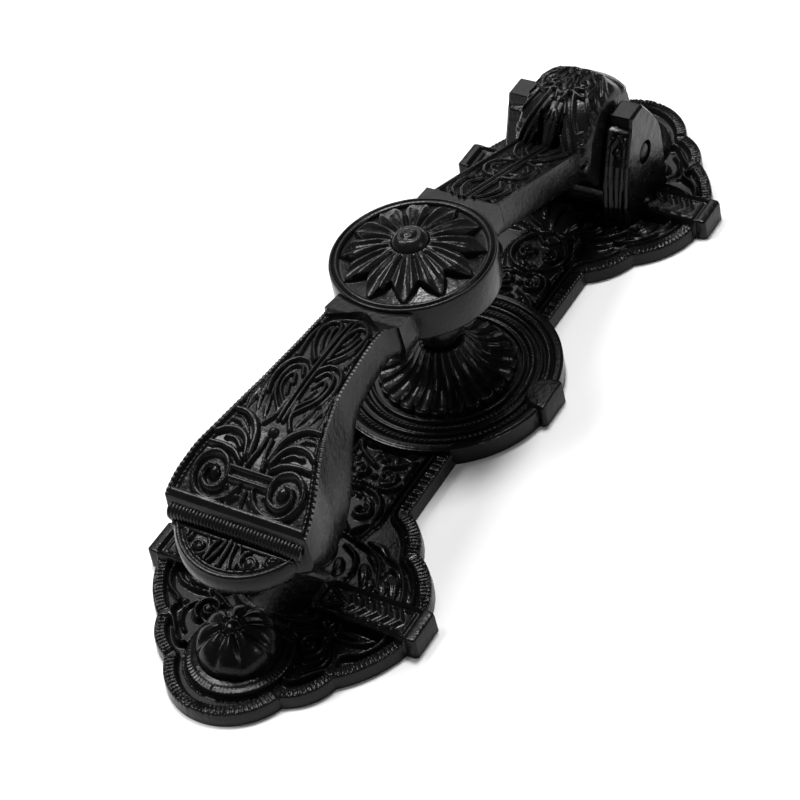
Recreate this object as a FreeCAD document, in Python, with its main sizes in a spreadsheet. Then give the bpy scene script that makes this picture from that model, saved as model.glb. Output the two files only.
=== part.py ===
"""A Victorian cast-iron door knocker: a shaped backplate with two hinge ears and an anvil dome, and a heavy arm
that swings on a pin between the ears. Millimetres. The back of the plate lies in z = 0, +Y runs along the plate
towards the hinge and +Z stands out from the door. The origin is the middle of the plate's back."""

import FreeCAD
import Part
import os
import Sketcher

# The driving dimensions. Each name is also the alias of its cell.
DIMENSIONS = {
    # backplate
    "plate_thick": 3.3,
    "disc_top": 4.3,
    "waist_half": 12.2,
    "waist_end": 35.6,
    "inner_notch_reach": 18.9,
    "inner_notch_place": 43.8,
    "inner_lobe_radius": 14.5,
    "shoulder_reach": 27.2,
    "shoulder_radius": 17.3,
    "outer_notch_reach": 19.4,
    "outer_notch_place": 75.5,
    "outer_lobe_radius": 24.0,
    "tip_reach": 12.6,
    "tip_place": 83.1,
    "tip_lobe_radius": 11.0,
    "end_radius": 13.6,
    "disc_radius": 22.9,
    "centre_tab_reach": 23.95,
    "centre_tab_half": 4.3,
    "end_tab_reach": 29.5,
    "end_tab_near": 56.0,
    "end_tab_far": 64.0,
    "end_tab_top": 4.6,
    # anvil dome, rosettes and the tapped holes behind them
    "dome_radius": 13.4,
    "dome_edge_top": 6.2,
    "dome_middle_radius": 7.4,
    "dome_middle_top": 8.2,
    "seat_radius": 4.6,
    "seat_top": 12.2,
    "rosette_place": 76.5,
    "rosette_radius": 7.8,
    "rosette_shoulder": 5.4,
    "rosette_crown_radius": 3.2,
    "rosette_top": 10.4,
    "tapped_radius": 2.5,
    "tapped_depth": 8.0,
    # hinge ears and pin
    "pivot_place": 61.4,
    "pivot_height": 15.2,
    "ear_inner": 9.2,
    "ear_thick": 5.2,
    "ear_foot_front": 50.2,
    "ear_foot_back": 69.4,
    "ear_top_front": 57.5,
    "ear_top_back": 62.6,
    "ear_top": 26.6,
    "ear_back_height": 12.0,
    "ear_back_radius": 24.0,
    "pin_radius": 2.0,
    "pin_half": 14.7,
    "pin_chamfer": 0.4,
    # arm: knuckle and shank
    "knuckle_half": 8.5,
    "bore_radius": 2.08,
    "heel_radius": 9.8,
    "crown_radius": 15.0,
    "crown_front": 45.2,
    "crown_front_height": 20.9,
    "crown_back": 68.8,
    "crown_back_height": 28.2,
    "shank_start": 12.0,
    "shank_end": 52.0,
    "shank_half": 7.5,
    "shank_start_top": 35.6,
    "shank_start_low": 26.4,
    "shank_end_top": 22.4,
    "shank_end_low": 13.2,
    # arm: medallion
    "medallion_place": 3.6,
    "medallion_radius": 16.1,
    "medallion_bottom": 29.2,
    "medallion_thick": 6.4,
    "flower_radius": 12.7,
    "flower_edge_top": 36.4,
    "flower_middle_radius": 8.6,
    "flower_middle_top": 39.4,
    "button_radius": 3.8,
    "button_bottom": 41.4,
    "button_top": 43.4,
    "collar_half": 8.5,
    "collar_length": 38.6,
    "collar_far": 16.0,
    "collar_bottom": 28.4,
    "collar_top": 36.6,
    # arm: handle sections, from the collar to the bar
    "neck_place": 21.5,
    "neck_half": 7.1,
    "neck_top": 37.6,
    "neck_bottom": 28.6,
    "grip_place": 39.0,
    "grip_half": 8.1,
    "grip_top": 38.3,
    "grip_bottom": 27.0,
    "belly_place": 50.5,
    "belly_half": 10.3,
    "belly_under_half": 8.8,
    "belly_top": 37.2,
    "belly_bottom": 13.0,
    "bar_place": 66.6,
    "bar_half": 14.8,
    "bar_under_half": 12.0,
    "bar_top": 30.6,
    "bar_bottom": 18.2,
    "roll_place": 69.2,
    "roll_height": 28.0,
    "roll_radius": 3.0,
    "roll_half": 13.6,
    "tongue_root": 66.0,
    "tongue_half": 12.5,
    "tongue_round_start": 69.5,
    "tongue_round_radius": 13.5,
    "tongue_bottom": 21.5,
    "tongue_thick": 4.6,
    # striker stud under the medallion
    "striker_foot_radius": 3.5,
    "striker_foot": 12.3,
    "striker_bulge_radius": 4.4,
    "striker_bulge_low": 14.0,
    "striker_bulge_high": 16.6,
    "striker_neck_radius": 3.6,
    "striker_neck": 18.6,
}

doc = FreeCAD.newDocument("door_knocker")
sheet = doc.addObject("Spreadsheet::Sheet", "dims")
for row, (alias, value) in enumerate(DIMENSIONS.items(), 1):
    sheet.set(f"A{row}", alias)
    sheet.set(f"B{row}", str(value))
    sheet.setAlias(f"B{row}", alias)
doc.recompute()


def number(measure):
    """The value of a measure: an alias, or an alias with a minus sign before it."""
    sign = -1 if measure.startswith("-") else 1
    return sign * DIMENSIONS[measure.lstrip("-")]


def formula(measure):
    """The same measure as an expression on the sheet."""
    sign = "-" if measure.startswith("-") else ""
    return f"{sign}dims.{measure.lstrip('-')}"


def flipped(measure):
    """The measure on the other side of the origin."""
    return measure[1:] if measure.startswith("-") else "-" + measure


def new_body(label):
    body = doc.addObject("PartDesign::Body", label)
    body.Label = label
    return body


def new_sketch(body, name, role, offset=None):
    """A sketch on one of the body's own origin planes, moved off it along the plane's normal by offset."""
    plane = next(feature for feature in body.Origin.OriginFeatures if feature.Role == role)
    sketch = body.newObject("Sketcher::SketchObject", name)
    sketch.AttachmentSupport = [(plane, "")]
    sketch.MapMode = "FlatFace"
    if offset:
        sketch.setExpression("AttachmentOffset.Base.z", formula(offset))
    return sketch


def bind(sketch, kind, arguments, measure):
    """Adds one dimension to the sketch and ties it to the sheet."""
    index = sketch.addConstraint(Sketcher.Constraint(kind, *arguments, number(measure)))
    sketch.setExpression(f"Constraints[{index}]", formula(measure))


def place_point(sketch, geometry, end, corner):
    """Fixes one end of an edge at a corner, a pair of measures of which either may be None for zero."""
    for axis, kind, measure in ((-2, "DistanceX", corner[0]), (-1, "DistanceY", corner[1])):
        if measure is None:
            sketch.addConstraint(Sketcher.Constraint("PointOnObject", geometry, end, axis))
        else:
            bind(sketch, kind, (-1, 1, geometry, end), measure)


def arc_between(start, end, radius):
    """The shorter arc that runs anticlockwise from start to end."""
    chord = end - start
    rise = (radius**2 - (chord.Length / 2) ** 2) ** 0.5
    middle = (start + end) / 2
    centre = middle + FreeCAD.Vector(-chord.y, chord.x, 0) / chord.Length * rise
    circle = Part.Circle(centre, FreeCAD.Vector(0, 0, 1), radius)
    return Part.ArcOfCircle(circle, circle.parameter(start), circle.parameter(end))


def draw_outline(sketch, corners):
    """A closed outline. A corner is (across, up) or (across, up, radius): the radius rounds the edge that
    leaves it, which bulges outwards because the corners run anticlockwise."""
    first = sketch.GeometryCount
    points = [FreeCAD.Vector(*(0 if c is None else number(c) for c in corner[:2]), 0) for corner in corners]
    for i, corner in enumerate(corners):
        start, end = points[i], points[(i + 1) % len(points)]
        if len(corner) == 3:
            sketch.addGeometry(arc_between(start, end, number(corner[2])))
        else:
            sketch.addGeometry(Part.LineSegment(start, end))
    for i, corner in enumerate(corners):
        following = first + (i + 1) % len(corners)
        sketch.addConstraint(Sketcher.Constraint("Coincident", first + i, 2, following, 1))
        place_point(sketch, first + i, 1, corner)
        if len(corner) == 3:
            bind(sketch, "Radius", (first + i,), corner[2])


def draw_circle(sketch, radius, centre=(None, None)):
    middle = FreeCAD.Vector(*(0 if c is None else number(c) for c in centre), 0)
    index = sketch.addGeometry(Part.Circle(middle, FreeCAD.Vector(0, 0, 1), number(radius)))
    place_point(sketch, index, 3, centre)
    bind(sketch, "Radius", (index,), radius)


def rectangle(left, right, low, high):
    return [(left, low), (right, low), (right, high), (left, high)]


def add_pad(body, name, sketch, length, times=1):
    pad = body.newObject("PartDesign::Pad", name)
    pad.Profile = sketch
    pad.setExpression("Length", f"{times} * {formula(length)}")
    doc.recompute()
    return pad


def add_revolution(body, name, sketch, axis="V_Axis"):
    turned = body.newObject("PartDesign::Revolution", name)
    turned.Profile = sketch
    turned.ReferenceAxis = (sketch, [axis])
    turned.Angle = 360
    doc.recompute()
    return turned


def add_pocket(body, name, sketch, length, both_ways=False):
    """Cuts along the sketch's normal, or both ways from the sketch."""
    before = body.Shape.Volume
    pocket = body.newObject("PartDesign::Pocket", name)
    pocket.Profile = sketch
    pocket.setExpression("Length", length)
    pocket.Midplane = both_ways
    pocket.Reversed = not both_ways
    doc.recompute()
    if body.Shape.Volume >= before:
        raise RuntimeError(f"{name} cut nothing")
    return pocket


def round_edges(shape):
    """The names of a shape's circular edges."""
    return [f"Edge{i}" for i, edge in enumerate(shape.Edges, 1) if isinstance(edge.Curve, Part.Circle)]


def add_mirror(body, name, feature, role):
    plane = next(entry for entry in body.Origin.OriginFeatures if entry.Role == role)
    mirror = body.newObject("PartDesign::Mirrored", name)
    mirror.Originals = [feature]
    mirror.MirrorPlane = (plane, [""])
    body.Tip = mirror
    doc.recompute()
    return mirror


def add_loft(body, name, sections):
    loft = body.newObject("PartDesign::AdditiveLoft", name)
    loft.Profile = sections[0]
    loft.Sections = sections[1:]
    loft.Ruled = True
    doc.recompute()
    return loft


# Backplate: one casting with the tabs, the anvil dome, the rosettes and the ears.

backplate = new_body("backplate")


def plate_corners():
    """The outline of the plate, anticlockwise from the lower end, without the disc and the tabs."""
    towards_tab = [
        ("tip_reach", "-tip_place", "tip_lobe_radius"),
        ("outer_notch_reach", "-outer_notch_place", "outer_lobe_radius"),
        ("shoulder_reach", "-end_tab_far"),
    ]
    towards_waist = [
        ("shoulder_reach", "-end_tab_near", "shoulder_radius"),
        ("inner_notch_reach", "-inner_notch_place", "inner_lobe_radius"),
        ("waist_half", "-waist_end"),
    ]
    lower_right = towards_tab + towards_waist
    # The upper right quarter runs the other way round, so each radius moves to the edge's other end.
    radii = [corner[2:] for corner in lower_right]
    upper_right = [
        (corner[0], flipped(corner[1])) + radius
        for corner, radius in zip(reversed(lower_right), reversed([("end_radius",)] + radii[:-1]))
    ]
    right = lower_right + upper_right
    left = [(flipped(corner[0]), flipped(corner[1])) + corner[2:] for corner in right]
    return right + left


outline = new_sketch(backplate, "plate_outline", "XY_Plane")
draw_outline(outline, plate_corners())
add_pad(backplate, "plate", outline, "plate_thick")

disc = new_sketch(backplate, "disc_outline", "XY_Plane")
draw_circle(disc, "disc_radius")
add_pad(backplate, "disc", disc, "disc_top")

centre_tabs = new_sketch(backplate, "centre_tab_outline", "XY_Plane")
draw_outline(centre_tabs, rectangle("-centre_tab_reach", "centre_tab_reach", "-centre_tab_half", "centre_tab_half"))
add_pad(backplate, "centre_tabs", centre_tabs, "disc_top")

end_tabs = new_sketch(backplate, "end_tab_outlines", "XY_Plane")
draw_outline(end_tabs, rectangle("-end_tab_reach", "end_tab_reach", "end_tab_near", "end_tab_far"))
draw_outline(end_tabs, rectangle("-end_tab_reach", "end_tab_reach", "-end_tab_far", "-end_tab_near"))
add_pad(backplate, "end_tabs", end_tabs, "end_tab_top")

dome = new_sketch(backplate, "dome_profile", "XZ_Plane")
draw_outline(
    dome,
    [
        (None, None),
        ("dome_radius", None),
        ("dome_radius", "dome_edge_top"),
        ("dome_middle_radius", "dome_middle_top"),
        ("seat_radius", "seat_top"),
        (None, "seat_top"),
    ],
)
add_revolution(backplate, "anvil_dome", dome)

rosette = new_sketch(backplate, "rosette_profile", "YZ_Plane")
rosette.setExpression("AttachmentOffset.Base.x", "dims.rosette_place")
draw_outline(
    rosette,
    [
        (None, None),
        ("rosette_radius", None),
        ("rosette_radius", "rosette_shoulder"),
        ("rosette_crown_radius", "rosette_top"),
        (None, "rosette_top"),
    ],
)
upper_rosette = add_revolution(backplate, "upper_rosette", rosette)
add_mirror(backplate, "lower_rosette", upper_rosette, "XZ_Plane")

ear = new_sketch(backplate, "ear_outline", "YZ_Plane", "ear_inner")
draw_outline(
    ear,
    [
        ("ear_foot_front", None),
        ("ear_foot_back", None),
        ("ear_foot_back", "ear_back_height", "ear_back_radius"),
        ("ear_top_back", "ear_top"),
        ("ear_top_front", "ear_top"),
    ],
)
right_ear = add_pad(backplate, "right_ear", ear, "ear_thick")
add_mirror(backplate, "left_ear", right_ear, "YZ_Plane")

pin_hole = new_sketch(backplate, "ear_pin_hole", "YZ_Plane")
draw_circle(pin_hole, "pin_radius", ("pivot_place", "pivot_height"))
add_pocket(backplate, "ear_pin_holes", pin_hole, "2 * (dims.ear_inner + dims.ear_thick) + 2", both_ways=True)

tapped = new_sketch(backplate, "tapped_hole_outline", "XY_Plane")
draw_circle(tapped, "tapped_radius", (None, "rosette_place"))
draw_circle(tapped, "tapped_radius", (None, "-rosette_place"))
add_pocket(backplate, "tapped_holes", tapped, "dims.tapped_depth")

# Hinge pin: a plain bar held tight in both ears, with its ends slightly crowned where they are riveted over.

hinge_pin = new_body("hinge_pin")
pin_circle = new_sketch(hinge_pin, "pin_outline", "YZ_Plane", "-pin_half")
draw_circle(pin_circle, "pin_radius", ("pivot_place", "pivot_height"))
pin_bar = add_pad(hinge_pin, "pin_bar", pin_circle, "pin_half", 2)
crowned_ends = hinge_pin.newObject("PartDesign::Chamfer", "crowned_ends")
crowned_ends.Base = (pin_bar, round_edges(pin_bar.Shape))
crowned_ends.setExpression("Size", "dims.pin_chamfer")

# Knocker arm: one casting of handle, collars, medallion, shank and knuckle.

arm = new_body("knocker_arm")


def section(name, place, half, under_half, low, high):
    """A cross-section of the arm, a trapezium that is narrower below, at a place along the plate. The XZ plane's
    normal points down the plate, so a place below the middle is a positive offset."""
    sketch = new_sketch(arm, name, "XZ_Plane", place)
    draw_outline(sketch, [(flipped(under_half), low), (under_half, low), (half, high), (flipped(half), high)])
    return sketch


handle_sections = [
    section("neck_section", "neck_place", "neck_half", "neck_half", "neck_bottom", "neck_top"),
    section("grip_section", "grip_place", "grip_half", "neck_half", "grip_bottom", "grip_top"),
    section("belly_section", "belly_place", "belly_half", "belly_under_half", "belly_bottom", "belly_top"),
    section("bar_section", "bar_place", "bar_half", "bar_under_half", "bar_bottom", "bar_top"),
]
add_loft(arm, "handle", handle_sections)

collar = new_sketch(arm, "collar_profile", "XZ_Plane", "-collar_far")
draw_outline(collar, rectangle("-collar_half", "collar_half", "collar_bottom", "collar_top"))
add_pad(arm, "collars", collar, "collar_length")

medallion = new_sketch(arm, "medallion_outline", "XY_Plane", "medallion_bottom")
draw_circle(medallion, "medallion_radius", (None, "-medallion_place"))
add_pad(arm, "medallion", medallion, "medallion_thick")

flower = new_sketch(arm, "flower_profile", "YZ_Plane")
flower.setExpression("AttachmentOffset.Base.x", "-dims.medallion_place")
draw_outline(
    flower,
    [
        (None, "medallion_bottom"),
        ("flower_radius", "medallion_bottom"),
        ("flower_radius", "flower_edge_top"),
        ("flower_middle_radius", "flower_middle_top"),
        ("button_radius", "button_bottom"),
        ("button_radius", "button_top"),
        (None, "button_top"),
    ],
)
add_revolution(arm, "flower", flower)

roll = new_sketch(arm, "roll_outline", "YZ_Plane", "-roll_half")
draw_circle(roll, "roll_radius", ("-roll_place", "roll_height"))
add_pad(arm, "roll", roll, "roll_half", 2)

tongue = new_sketch(arm, "tongue_outline", "XY_Plane", "tongue_bottom")
draw_outline(
    tongue,
    [
        ("-tongue_half", "-tongue_round_start", "tongue_round_radius"),
        ("tongue_half", "-tongue_round_start"),
        ("tongue_half", "-tongue_root"),
        ("-tongue_half", "-tongue_root"),
    ],
)
add_pad(arm, "tongue", tongue, "tongue_thick")

shank_sections = [
    section("shank_start_section", "-shank_start", "shank_half", "shank_half", "shank_start_low", "shank_start_top"),
    section("shank_end_section", "-shank_end", "shank_half", "shank_half", "shank_end_low", "shank_end_top"),
]
add_loft(arm, "shank", shank_sections)

crown = new_sketch(arm, "crown_outline", "YZ_Plane", "-knuckle_half")
draw_outline(
    crown,
    [
        ("pivot_place", "pivot_height"),
        ("crown_back", "pivot_height"),
        ("crown_back", "crown_back_height", "crown_radius"),
        ("crown_front", "crown_front_height"),
    ],
)
add_pad(arm, "crown", crown, "knuckle_half", 2)

heel = new_sketch(arm, "heel_outline", "YZ_Plane", "-knuckle_half")
draw_circle(heel, "heel_radius", ("pivot_place", "pivot_height"))
add_pad(arm, "heel", heel, "knuckle_half", 2)

bore = new_sketch(arm, "bore_outline", "YZ_Plane")
draw_circle(bore, "bore_radius", ("pivot_place", "pivot_height"))
add_pocket(arm, "bore", bore, "2 * dims.knuckle_half + 2", both_ways=True)

# Striker stud: a turned bun on a stem, standing down from the medallion to the seat of the anvil dome.

striker_stud = new_body("striker_stud")
striker = new_sketch(striker_stud, "striker_profile", "XZ_Plane")
draw_outline(
    striker,
    [
        (None, "striker_foot"),
        ("striker_foot_radius", "striker_foot"),
        ("striker_bulge_radius", "striker_bulge_low"),
        ("striker_bulge_radius", "striker_bulge_high"),
        ("striker_neck_radius", "striker_neck"),
        ("striker_neck_radius", "medallion_bottom"),
        (None, "medallion_bottom"),
    ],
)
add_revolution(striker_stud, "turned_stud", striker)

doc.recompute()

for entry in doc.Objects:
    if {"Invalid", "Error"} & set(entry.State):
        raise RuntimeError(f"{entry.Label} failed: {entry.State}")

os.makedirs("parts", exist_ok=True)
for piece in (backplate, hinge_pin, arm, striker_stud):
    if piece.Shape.isNull() or not piece.Shape.isValid() or len(piece.Shape.Solids) != 1:
        raise RuntimeError(f"{piece.Label} isn't one valid solid")
    piece.Shape.exportStep(f"parts/{piece.Label}.step")
    box = piece.Shape.BoundBox
    print(piece.Label, round(piece.Shape.Volume), "mm3,", [round(v, 2) for v in (box.XMin, box.YMin, box.ZMin)],
          [round(v, 2) for v in (box.XMax, box.YMax, box.ZMax)])
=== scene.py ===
"""Visual model of a cast-iron door knocker: relief-cast backplate, arm, hinge pin and striker stud."""

import math

import bmesh
import bpy
import numpy as np
from mathutils import Matrix, Vector, kdtree


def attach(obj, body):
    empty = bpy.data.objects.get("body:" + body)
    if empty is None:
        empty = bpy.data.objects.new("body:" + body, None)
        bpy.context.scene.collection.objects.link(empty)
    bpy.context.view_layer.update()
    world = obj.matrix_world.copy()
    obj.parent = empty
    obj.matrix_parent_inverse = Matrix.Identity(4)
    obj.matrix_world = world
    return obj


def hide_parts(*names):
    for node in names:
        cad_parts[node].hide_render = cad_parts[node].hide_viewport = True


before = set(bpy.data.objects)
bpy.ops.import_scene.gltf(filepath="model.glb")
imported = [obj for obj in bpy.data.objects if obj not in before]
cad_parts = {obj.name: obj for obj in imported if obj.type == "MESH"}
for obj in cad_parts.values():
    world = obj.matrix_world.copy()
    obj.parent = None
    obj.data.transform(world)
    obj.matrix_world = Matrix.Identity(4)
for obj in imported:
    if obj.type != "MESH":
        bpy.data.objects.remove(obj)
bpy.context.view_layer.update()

MM = 0.001
PI = math.pi
WELD = 2e-7
SHARP_ANGLE = math.radians(62)

# Backplate outline of one quarter, as (x, y) corners and the radius of the bulging edge to the next one.
END_RADIUS = 13.6
END_CENTRE = 83.1 - math.sqrt(END_RADIUS**2 - 12.6**2)
DISC_RADIUS = 22.9
TAB_NEAR, TAB_FAR, TAB_REACH = 56, 64, 29.5
CENTRE_TAB_HALF, CENTRE_TAB_REACH = 4.3, 23.95
WAIST_HALF = 12.2
QUARTER = [
    (0, END_CENTRE + END_RADIUS, END_RADIUS),
    (12.6, 83.1, 11),
    (19.4, 75.5, 24),
    (27.2, TAB_FAR, 0),
    (TAB_REACH, TAB_FAR, 0),
    (TAB_REACH, TAB_NEAR, 0),
    (27.2, TAB_NEAR, 17.3),
    (18.9, 43.8, 14.5),
    (WAIST_HALF, 35.6, 0),
    (WAIST_HALF, math.sqrt(DISC_RADIUS**2 - WAIST_HALF**2), DISC_RADIUS),
    (math.sqrt(DISC_RADIUS**2 - CENTRE_TAB_HALF**2), CENTRE_TAB_HALF, 0),
    (CENTRE_TAB_REACH, CENTRE_TAB_HALF, 0),
    (CENTRE_TAB_REACH, 0, 0),
]
PLATE_TOP, PLATE_FLOOR, DISC_FLOOR = 3.3, 1.5, 3.6
TAB_TOP, TAB_PANEL = 4.6, 3.7
TAB_ROOT, TAB_PLAIN = 6.4, 27.4
CENTRE_TAB_TOP, CENTRE_TAB_ROOT = 4.9, 19.4
EDGE_INSET = 0.5
GRID = 0.2
RELIEF_GAIN = 1.3
RIB_PITCH, RIB_WIDTH_ENDS, RIB_WIDTH_SIDES = 0.92, 2.75, 3.05
ROSETTE_Y, ROSETTE_RADIUS, COLLAR_RADIUS = 76.5, 7.8, 10.7
TAPPED_RADIUS, TAPPED_DEPTH = 2.5, 8.0

# Hinge and arm.
PIVOT_Y, PIVOT_Z = 61.4, 15.2
EAR_INNER, EAR_OUTER = 9.2, 14.4
PIN_RADIUS, PIN_HALF = 2, 14.2
MEDALLION_Y, MEDALLION_RADIUS, KNOB_RADIUS = -3.6, 16.1, 3.75
PETAL_TURN = math.radians(8.1)
CROWN_Y, CROWN_Z, CROWN_RADIUS = 59.5, 16.5, 14.95
KNUCKLE_HALF, HEEL_RADIUS = 8.5, 9.8
ROLL_Y, ROLL_Z, ROLL_RADIUS, ROLL_HALF, REED_PITCH = -68.3, 26.3, 1.85, 14.05, 0.72
LIP_START, LIP_HALF, LIP_RADIUS, LIP_TOP = -69.5, 13.2, 14.55, 25.3


# ---- meshes


def shell(rings):
    """A closed skin over rings of equally many points, each end gathered to its middle point."""
    rings = np.asarray(rings, float)
    count, around = rings.shape[:2]
    ends = np.stack([rings[0].mean(axis=0), rings[-1].mean(axis=0)])
    points = np.concatenate([rings.reshape(-1, 3), ends])
    row = (np.arange(count - 1) * around)[:, None]
    here = np.arange(around)
    after = (here + 1) % around
    quads = np.stack([row + here, row + after, row + around + after, row + around + here], -1)
    faces = quads.reshape(-1, 4).tolist()
    first, last = count * around, count * around + 1
    tail = (count - 1) * around
    faces += [(first, b, a) for a, b in zip(here.tolist(), after.tolist())]
    faces += [(last, tail + a, tail + b) for a, b in zip(here.tolist(), after.tolist())]
    return points, faces


def build(name, shells, node, body, material):
    """Joins closed skins, given in millimetres, into one piece that stands for a CAD node."""
    mesh = bpy.data.meshes.new(name)
    points, faces = [], []
    for skin_points, skin_faces in shells:
        offset = sum(len(part) for part in points)
        points.append(np.asarray(skin_points))
        faces += [tuple(index + offset for index in face) for face in skin_faces]
    mesh.from_pydata((np.concatenate(points) * MM).tolist(), [], faces)
    work = bmesh.new()
    work.from_mesh(mesh)
    bmesh.ops.remove_doubles(work, verts=work.verts, dist=WELD)
    bmesh.ops.recalc_face_normals(work, faces=work.faces)
    work.to_mesh(mesh)
    work.free()
    mesh.shade_smooth()
    mesh.set_sharp_from_angle(angle=SHARP_ANGLE)
    piece = bpy.data.objects.new(name, mesh)
    bpy.context.scene.collection.objects.link(piece)
    mesh.materials.append(material)
    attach(piece, body)
    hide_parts(node)
    return piece


def turned(profile, axis, centre, around=72):
    """A turned skin: profile holds (radius, place along the axis) pairs."""
    angle = np.linspace(0, 2 * PI, around, endpoint=False)
    rings = []
    for radius, place in profile:
        across, up, along = radius * np.cos(angle), radius * np.sin(angle), np.full(around, place)
        ring = (along, across, up) if axis == "X" else (across, up, along)
        rings.append(np.stack(ring, -1) + np.asarray(centre))
    return shell(rings)


def round_relief(centre, radii, around, height, base):
    """A round skin with the given height(radius, angle), closed below by the base's (radius, z) steps."""
    angle = np.linspace(0, 2 * PI, around, endpoint=False)[None, :]
    radius = np.asarray(radii)[:, None]
    top = height(radius, angle)
    spread = np.broadcast_to(radius, top.shape)
    rings = list(np.stack([spread * np.cos(angle), spread * np.sin(angle), top], -1))
    for step_radius, step_z in base:
        ring = np.stack([step_radius * np.cos(angle[0]), step_radius * np.sin(angle[0])], -1)
        rings.append(np.column_stack([ring, np.full(around, step_z)]))
    return shell(np.array(rings) + np.array([*centre, 0.0]))


def resampled(corners, pitch):
    """Even points round a closed outline of (a, b) corners, and their outward normals."""
    closed = np.array([*corners, corners[0]], float)
    run = np.concatenate([[0], np.cumsum(np.hypot(*np.diff(closed, axis=0).T))])
    place = np.linspace(0, run[-1], int(run[-1] / pitch), endpoint=False)
    points = np.stack([np.interp(place, run, closed[:, 0]), np.interp(place, run, closed[:, 1])], -1)
    along = np.roll(points, -2, axis=0) - np.roll(points, 2, axis=0)
    normals = np.stack([along[:, 1], -along[:, 0]], -1)
    normals /= np.linalg.norm(normals, axis=1)[:, None] + 1e-9
    outward = np.sum((points - points.mean(axis=0)) * normals) > 0
    return points, normals if outward else -normals


def slab(profile, normals, columns, relief, caps):
    """A skin whose (y, z) profile runs through columns of (x, inset), with caps of (x, share, radius)."""
    pivot = np.array([PIVOT_Y, PIVOT_Z])
    towards = profile - pivot
    reach = np.linalg.norm(towards, axis=1)[:, None]

    def cap_ring(x, share, radius):
        flat = pivot + towards / reach * (reach * share + radius * (1 - share))
        return np.column_stack([np.full(len(flat), x), flat])

    rings = [cap_ring(*cap) for cap in caps[0]]
    for x, inset in columns:
        lift = relief(np.full(len(profile), x), profile[:, 0], profile[:, 1])
        flat = profile + normals * (lift - inset)[:, None]
        rings.append(np.column_stack([np.full(len(flat), x), flat]))
    return shell(rings + [cap_ring(*cap) for cap in caps[1]])


# ---- relief drawing


def hump(offset):
    """A half-round section: 1 in the middle, 0 from an offset of 1 outwards."""
    return np.sqrt(np.clip(1 - offset**2, 0, None))


def bell(offset):
    """A soft bump: 1 in the middle, fading over an offset of about 1."""
    return np.exp(-(offset**2))


def curve(points, steps=8):
    """A smooth path through the points."""
    knots = np.asarray(points, float)
    padded = np.concatenate([2 * knots[:1] - knots[1:2], knots, 2 * knots[-1:] - knots[-2:-1]])
    path = []
    for a, b, c, d in zip(padded, padded[1:], padded[2:], padded[3:]):
        for t in np.linspace(0, 1, steps, endpoint=False):
            bend = 2 * b + (c - a) * t + (2 * a - 5 * b + 4 * c - d) * t**2
            path.append((bend + (3 * b - a - 3 * c + d) * t**3) / 2)
    path.append(knots[-1])
    return np.array(path)


def scroll(centre, outer, inner, start, turns, steps=44):
    """A volute path that winds inwards from the start angle in degrees."""
    share = np.linspace(0, 1, steps)
    angle = math.radians(start) + share * turns * 2 * PI
    radius = outer + (inner - outer) * share
    return np.stack([centre[0] + radius * np.cos(angle), centre[1] + radius * np.sin(angle)], -1)


def ridge(x, y, path, half, height):
    """A round-backed cord along a path; half width and height may change from one end to the other."""
    path = np.asarray(path, float)
    share = np.linspace(0, 1, len(path))
    half = np.interp(share, np.linspace(0, 1, np.size(half)), np.atleast_1d(half))
    height = np.interp(share, np.linspace(0, 1, np.size(height)), np.atleast_1d(height))
    reach = half.max()
    low, high = path.min(axis=0) - reach, path.max(axis=0) + reach
    near = (x > low[0]) & (x < high[0]) & (y > low[1]) & (y < high[1])
    px, py = x[near], y[near]
    best = np.zeros_like(px)
    for i in range(len(path) - 1):
        (ax, ay), (bx, by) = path[i], path[i + 1]
        dx, dy = bx - ax, by - ay
        t = np.clip(((px - ax) * dx + (py - ay) * dy) / (dx * dx + dy * dy + 1e-9), 0, 1)
        gap = np.hypot(px - ax - t * dx, py - ay - t * dy)
        wide = half[i] + (half[i + 1] - half[i]) * t
        tall = height[i] + (height[i + 1] - height[i]) * t
        best = np.maximum(best, tall * hump(gap / wide))
    lifted = np.zeros_like(x)
    lifted[near] = best
    return lifted


def leaf(x, y, points, half, height, vein=0.35):
    """A leaf along a path, pointed at both ends, with a sunk middle vein."""
    path = curve(points)
    share = np.linspace(0, 1, len(path))
    swell = np.sin(PI * share**0.8) ** 0.8 * 0.94 + 0.06
    body = ridge(x, y, path, half * swell, height * (0.45 + 0.55 * swell))
    return np.clip(body - ridge(x, y, path, 0.24, vein) * (body > 0), 0, None)


def smooth(cords):
    """Cords (path, half, height) from the points that their smooth paths go through."""
    return [(curve(points), half, height) for points, half, height in cords]


def drawn(x, y, cords=(), leaves=(), bosses=(), wider=1, higher=1):
    """The highest of many cords (path, half, height), leaves and beads at each point."""
    top = np.zeros_like(x)
    for path, half, height in cords:
        top = np.maximum(top, ridge(x, y, path, np.multiply(half, wider), np.multiply(height, higher)))
    for points, half, height in leaves:
        top = np.maximum(top, leaf(x, y, points, half, height))
    for centre, radius, height in bosses:
        top = np.maximum(top, height * hump(np.hypot(x - centre[0], y - centre[1]) / radius))
    return top


def step(value, start, end):
    """Runs smoothly from 0 at start to 1 at end."""
    t = np.clip((value - start) / (end - start), 0, 1)
    return t * t * (3 - 2 * t)


def ripple(x, y, z, size, depth):
    """The slow unevenness of a sand casting."""
    a = np.sin(x / size * 1.7 + 0.9 * np.sin(y / size * 1.1)) * np.cos(y / size * 1.3 + z / size * 0.8)
    b = np.sin(z / size * 2.3 + 1.2 * np.sin(x / size * 0.7)) * np.sin(y / size * 2.1 + 0.5)
    return depth * (a + 0.6 * b)


# ---- backplate


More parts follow.
